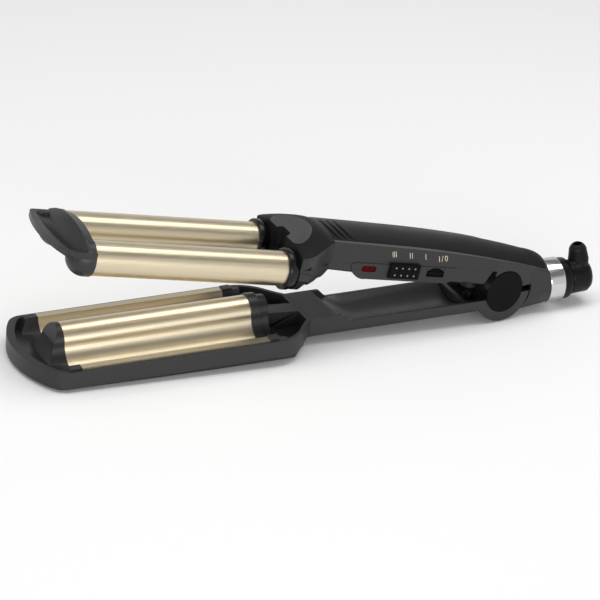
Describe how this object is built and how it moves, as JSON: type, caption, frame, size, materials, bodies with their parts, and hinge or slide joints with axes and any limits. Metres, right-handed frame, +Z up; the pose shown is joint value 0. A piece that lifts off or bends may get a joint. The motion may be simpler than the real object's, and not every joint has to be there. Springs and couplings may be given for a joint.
{
  "type": "hair crimper",
  "caption": "Hair waving iron: round heated barrels on a hinged arm close onto a wave-shaped heated plate; sprung open, with heat slider, power rocker and swivel cord end.",
  "frame": {"origin": "centre of the bounding box on the table plane, with the iron open as in the picture", "axes": "+X from the tip towards the cord, +Y across the barrels away from the controls, +Z up"},
  "size_m": [0.3658, 0.0772, 0.0891],
  "materials": {
    "matte_black": "matte",
    "satin_black": "satin",
    "gloss_black": "gloss",
    "gold": "satin",
    "chrome": "polished",
    "rubber": "matte",
    "lamp_red": "gloss",
    "steel": "satin",
    "bare_aluminium": "satin",
    "board_green": "matte"
  },
  "bodies": {
    "lower_arm": {"lower_shell": "matte_black", "lower_handle": "matte_black", "bottom_cover": "matte_black", "cover_screws": "steel", "wave_plate": "gold", "tip_insert": "satin_black", "plate_end_frame": "satin_black", "plate_heater": "bare_aluminium", "heater_clamp": "steel", "return_spring": "steel", "hinge_pin": "steel", "left_hinge_cap": "gloss_black", "right_hinge_cap": "gloss_black"},
    "upper_arm": {"left_barrel": "gold", "right_barrel": "gold", "left_heater_core": "bare_aluminium", "right_heater_core": "bare_aluminium", "left_collar": "gloss_black", "right_collar": "gloss_black", "tip_cap": "satin_black", "head_block": "satin_black", "upper_shell": "satin_black", "top_inlay": "gloss_black", "handle_base": "matte_black", "base_screws": "steel", "control_panel": "satin_black", "led_lens": "lamp_red", "circuit_board": "board_green", "slide_switch": "matte_black", "power_switch": "matte_black", "hinge_hub": "matte_black", "spring_cup": "matte_black", "tail_base": "satin_black", "chrome_ring": "chrome", "end_collar": "satin_black"},
    "slider": {"heat_slider": "matte_black"},
    "rocker": {"power_rocker": "matte_black"},
    "cord_elbow": {"swivel_body": "satin_black", "strain_relief": "rubber"}
  },
  "joints": [
    {"name": "jaw_hinge", "type": "hinge", "parent": "lower_arm", "child": "upper_arm", "pos_m": [0.118, 0, 0.0186], "axis": [0, -1, 0], "range_deg": [0, 12], "stiffness_Nm_per_rad": 2, "springref_deg": -28.65, "deforming": ["return_spring"]},
    {"name": "heat_slide", "type": "slide", "parent": "upper_arm", "child": "slider", "axis": [0.986, 0, -0.1668], "range_m": [-0.0045, 0.0045]},
    {"name": "power_rock", "type": "hinge", "parent": "upper_arm", "child": "rocker", "pos_m": [0.06965, -0.0164, 0.03733], "axis": [0.1668, 0, 0.986], "range_deg": [0, 12]},
    {"name": "cord_swivel", "type": "hinge", "parent": "upper_arm", "child": "cord_elbow", "pos_m": [0.15197, 0, 0.01438], "axis": [0.9996, 0, 0.0297], "continuous": true}
  ]
}
